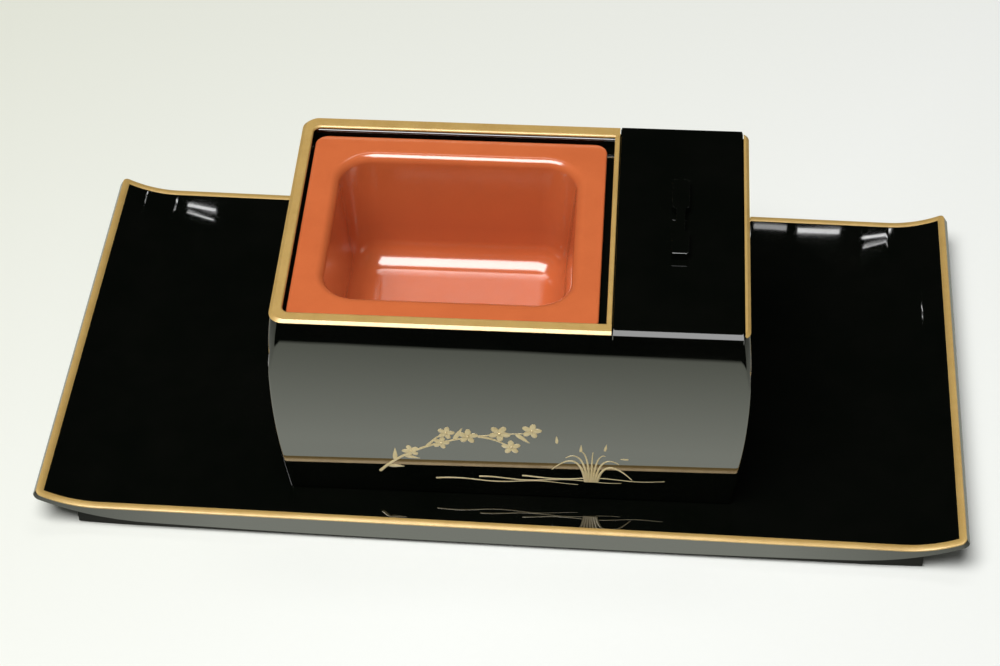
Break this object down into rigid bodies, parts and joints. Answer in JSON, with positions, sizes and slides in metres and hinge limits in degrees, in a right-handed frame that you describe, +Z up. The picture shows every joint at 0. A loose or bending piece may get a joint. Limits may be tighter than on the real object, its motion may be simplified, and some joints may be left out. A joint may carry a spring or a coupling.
{
  "type": "lacquer compartment box",
  "caption": "Black lacquer box with gilt rim, a lift-out red tub beside a lidded compartment, standing on a matching tray with turned-up ends.",
  "frame": {"origin": "centre of the tray's outline, on the plane that the foot rails stand on", "axes": "+X to the right along the tray's length, towards the lidded compartment; +Y from front to back; +Z up"},
  "size_m": [0.434, 0.226, 0.126],
  "materials": {
    "black_lacquer": "high-gloss black lacquer, gilt along rims and tray edges",
    "black_undercoat": "satin black undercoat",
    "vermilion_lacquer": "semi-gloss vermilion lacquer",
    "gilt": "gold powder paint along rims, strip and tray edges and in the sprays on the front"
  },
  "bodies": {
    "tray": {"tray_board": "black_lacquer", "tray_foot_front": "black_lacquer", "tray_foot_back": "black_lacquer"},
    "box": {"box_front_wall": "black_lacquer", "box_back_wall": "black_lacquer", "box_left_wall": "black_lacquer", "box_right_wall": "black_lacquer", "box_divider": "black_lacquer", "box_bottom_board": "black_undercoat", "tub_ledge_front": "black_undercoat", "tub_ledge_back": "black_undercoat", "tub_ledge_left": "black_undercoat", "tub_ledge_divider": "black_undercoat"},
    "tub": {"red_tub": "vermilion_lacquer"},
    "lid": {"lid_plate": "black_lacquer", "lid_batten_front": "black_undercoat", "lid_batten_back": "black_undercoat", "lid_handle": "black_lacquer"}
  },
  "joints": [
    {"name": "box_lift", "type": "slide", "parent": "tray", "child": "box", "axis": [0, 0, 1], "range_m": [0, 0.14]},
    {"name": "tub_lift", "type": "slide", "parent": "box", "child": "tub", "axis": [0, 0, 1], "range_m": [0, 0.09]},
    {"name": "lid_lift", "type": "slide", "parent": "box", "child": "lid", "axis": [0, 0, 1], "range_m": [0, 0.06]}
  ]
}
